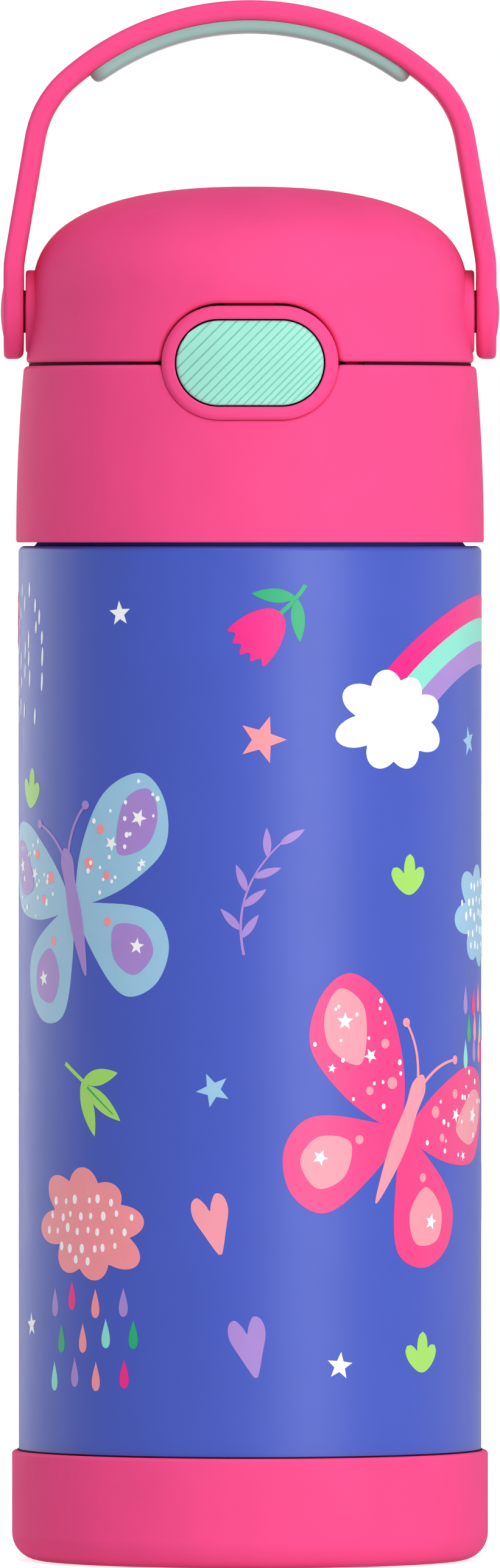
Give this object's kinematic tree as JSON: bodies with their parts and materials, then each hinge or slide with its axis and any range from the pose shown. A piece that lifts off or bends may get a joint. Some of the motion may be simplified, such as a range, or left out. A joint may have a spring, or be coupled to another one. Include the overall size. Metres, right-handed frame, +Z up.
{
  "type": "kids water bottle",
  "caption": "Insulated kids' bottle: steel vacuum flask in a boot, with a screw-on lid whose push-button flip cap covers a drinking spout and carries a swinging bail handle.",
  "frame": {"origin": "centre of the underside, on the surface the bottle stands on", "axes": "+Z up along the bottle; the push button faces -Y and the lid's hinge is at +Y; the handle's pivots lie along X"},
  "size_m": [0.0818, 0.0782, 0.256],
  "materials": {
    "lid_pink": "matte",
    "boot_pink": "matte",
    "body_blue": "satin",
    "steel": "satin",
    "mint_plastic": "matte",
    "mint_grip": "matte",
    "silicone": "matte",
    "pad_rubber": "matte",
    "printed_art": "satin"
  },
  "bodies": {
    "flask": {"outer_shell": "body_blue", "shell_bottom": "steel", "vacuum_seal_disc": "steel", "inner_flask": "steel", "base_boot": "boot_pink", "anti_slip_pad": "pad_rubber"},
    "gasket": {"lid_gasket": "silicone"},
    "lid": {"lid_base": "lid_pink", "lid_collar": "lid_pink", "drink_spout": "mint_plastic", "spout_gasket": "silicone", "vent_valve": "silicone", "hinge_pin": "steel", "hinge_spring": "steel", "button_spring": "steel"},
    "cap": {"flip_cap": "lid_pink", "seal_holder": "lid_pink", "spout_seal": "silicone", "pivot_pin_left": "lid_pink", "pivot_pin_right": "lid_pink", "pivot_washer_left": "lid_pink", "pivot_washer_right": "lid_pink"},
    "handle": {"bail_handle": "lid_pink", "handle_grip": "mint_grip"},
    "button": {"release_button": "mint_plastic", "latch_hook": "lid_pink"}
  },
  "joints": [
    {"name": "lid_rise", "type": "slide", "parent": "flask", "child": "gasket", "axis": [0, 0, 1], "range_m": [0, 0.0061]},
    {"name": "lid_turn", "type": "hinge", "parent": "gasket", "child": "lid", "pos_m": [0, 0, 0.186], "axis": [0, 0, 1], "range_deg": [0, 540]},
    {"name": "cap_hinge", "type": "hinge", "parent": "lid", "child": "cap", "pos_m": [0, 0.0363, 0.1962], "axis": [-1, 0, 0], "range_deg": [0, 105], "deforming": ["hinge_spring"]},
    {"name": "handle_swing", "type": "hinge", "parent": "cap", "child": "handle", "pos_m": [0, 0, 0.205], "axis": [1, 0, 0], "range_deg": [-75, 95]},
    {"name": "button_press", "type": "slide", "parent": "lid", "child": "button", "axis": [0, 1, 0], "range_m": [0, 0.0025], "stiffness_N_per_m": 800, "deforming": ["button_spring"]}
  ],
  "couplings": [
    {"joint": "lid_rise", "follows": "lid_turn", "m_per_rad": 0.00063662}
  ]
}
